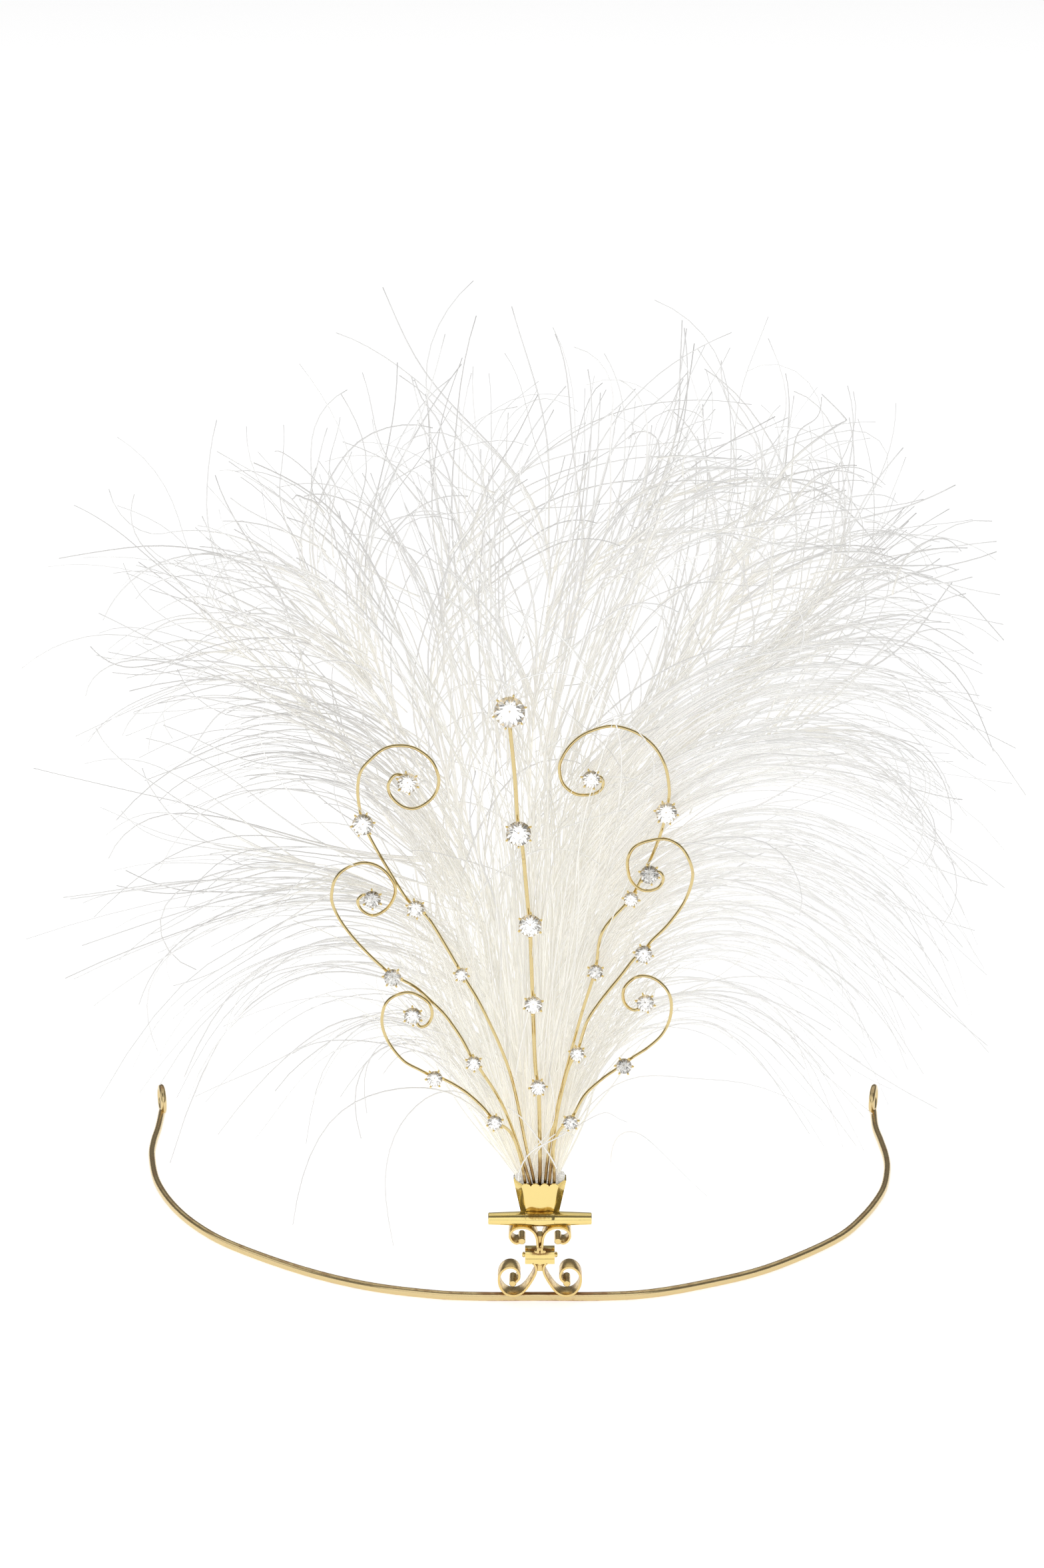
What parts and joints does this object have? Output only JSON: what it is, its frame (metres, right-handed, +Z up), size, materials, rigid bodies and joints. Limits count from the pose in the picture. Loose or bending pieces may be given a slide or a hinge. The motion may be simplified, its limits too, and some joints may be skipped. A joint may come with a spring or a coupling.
{
  "type": "aigrette hair ornament",
  "caption": "Hair ornament: an open wire headband with a small hinged holder that carries curled gem-set wire sprays and a fanned feather plume.",
  "frame": {"origin": "on the flat underside of the band, under the middle of its front, below the hinge", "axes": "+X to the viewer's right along the front of the band, +Y away from the front into the open side of the band, +Z up the plume"},
  "size_m": [0.1752, 0.0908, 0.1956],
  "materials": {
    "satin_gold": "satin",
    "polished_gold": "polished",
    "diamond": "gloss",
    "egret": "matte"
  },
  "bodies": {
    "headband": {"headband": "satin_gold", "hinge_pin": "polished_gold"},
    "aigrette": {"holder": "polished_gold", "spray_centre": "polished_gold", "spray_left_top": "polished_gold", "spray_right_top": "polished_gold", "spray_left_middle": "polished_gold", "spray_right_middle": "polished_gold", "spray_left_low": "polished_gold", "spray_right_low": "polished_gold", "stone_centre_1": "diamond", "stone_centre_2": "diamond", "stone_centre_3": "diamond", "stone_centre_4": "diamond", "stone_centre_5": "diamond", "stone_left_top_1": "diamond", "stone_left_top_2": "diamond", "stone_left_top_3": "diamond", "stone_left_top_4": "diamond", "stone_right_top_1": "diamond", "stone_right_top_2": "diamond", "stone_right_top_3": "diamond", "stone_right_top_4": "diamond", "stone_left_middle_1": "diamond", "stone_left_middle_2": "diamond", "stone_left_middle_3": "diamond", "stone_right_middle_1": "diamond", "stone_right_middle_2": "diamond", "stone_right_middle_3": "diamond", "stone_left_low_1": "diamond", "stone_left_low_2": "diamond", "stone_left_low_3": "diamond", "stone_right_low_1": "diamond", "stone_right_low_2": "diamond", "stone_right_low_3": "diamond", "plume": "egret"}
  },
  "joints": [
    {"name": "fold", "type": "hinge", "parent": "headband", "child": "aigrette", "pos_m": [0, -0.0005, 0.01009], "axis": [-1, 0, 0], "range_deg": [0, 60]}
  ]
}
